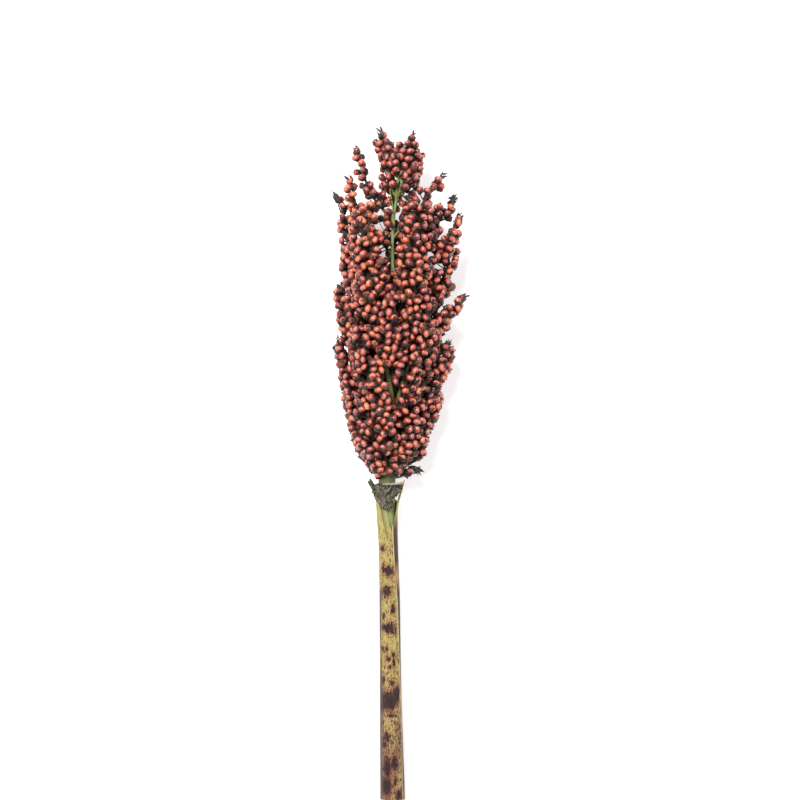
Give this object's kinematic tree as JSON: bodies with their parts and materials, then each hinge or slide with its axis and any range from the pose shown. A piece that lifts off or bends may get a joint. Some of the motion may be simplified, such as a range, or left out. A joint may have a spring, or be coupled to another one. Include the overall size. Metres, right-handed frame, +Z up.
{
  "type": "sorghum seed head",
  "caption": "Ripe sorghum panicle on its cut stalk, lying on its side: round grains on bowed branches round a central rachis, with a rolled leaf sheath on the stalk.",
  "frame": {"origin": "middle of the footprint of the whole seed head, on the surface that it lies on", "axes": "+Y along the stalk from the cut end towards the top of the seed head, +Z up from the surface, +X to the right as it is seen from above with its top away from the viewer"},
  "size_m": [0.0724, 0.3656, 0.058],
  "materials": {
    "stalk": "satin green stem",
    "sheath": "dry yellow leaf sheath with purple-brown blotches",
    "dry_leaf": "matt withered leaf",
    "grain": "smooth brick-red grain",
    "glume": "glossy black-brown husk"
  },
  "bodies": {
    "root": {"stalk": "stalk", "leaf_sheath": "sheath", "flag_leaf_stub": "dry_leaf", "seed_branch_01": "grain", "seed_branch_02": "grain", "seed_branch_03": "grain", "seed_branch_04": "grain", "seed_branch_05": "grain", "seed_branch_06": "grain", "seed_branch_07": "grain", "seed_branch_08": "grain", "seed_branch_09": "grain", "seed_branch_10": "grain", "seed_branch_11": "grain", "seed_branch_12": "grain", "seed_branch_13": "grain", "seed_branch_14": "grain", "seed_branch_15": "grain", "seed_branch_16": "grain", "seed_branch_17": "grain", "seed_branch_18": "grain", "seed_branch_19": "grain", "seed_branch_20": "grain", "seed_branch_21": "grain", "seed_branch_22": "grain", "seed_branch_23": "grain", "seed_branch_24": "grain", "seed_branch_25": "grain", "seed_branch_26": "grain", "seed_branch_27": "grain", "seed_branch_28": "grain", "seed_branch_29": "grain", "seed_branch_30": "grain", "seed_branch_31": "grain", "seed_branch_32": "grain", "seed_branch_33": "grain", "seed_branch_34": "grain", "seed_branch_35": "grain", "seed_branch_36": "grain", "seed_branch_37": "grain", "seed_branch_38": "grain", "seed_branch_39": "grain", "seed_branch_40": "grain", "seed_branch_41": "grain", "seed_branch_42": "grain", "seed_branch_43": "grain", "seed_branch_44": "grain", "seed_branch_45": "grain", "seed_branch_46": "grain", "seed_branch_47": "grain", "seed_branch_48": "grain", "seed_branch_49": "grain", "seed_branch_50": "grain", "seed_branch_51": "grain", "seed_branch_52": "grain", "seed_branch_53": "grain", "seed_branch_54": "grain", "seed_branch_55": "grain"}
  },
  "joints": []
}
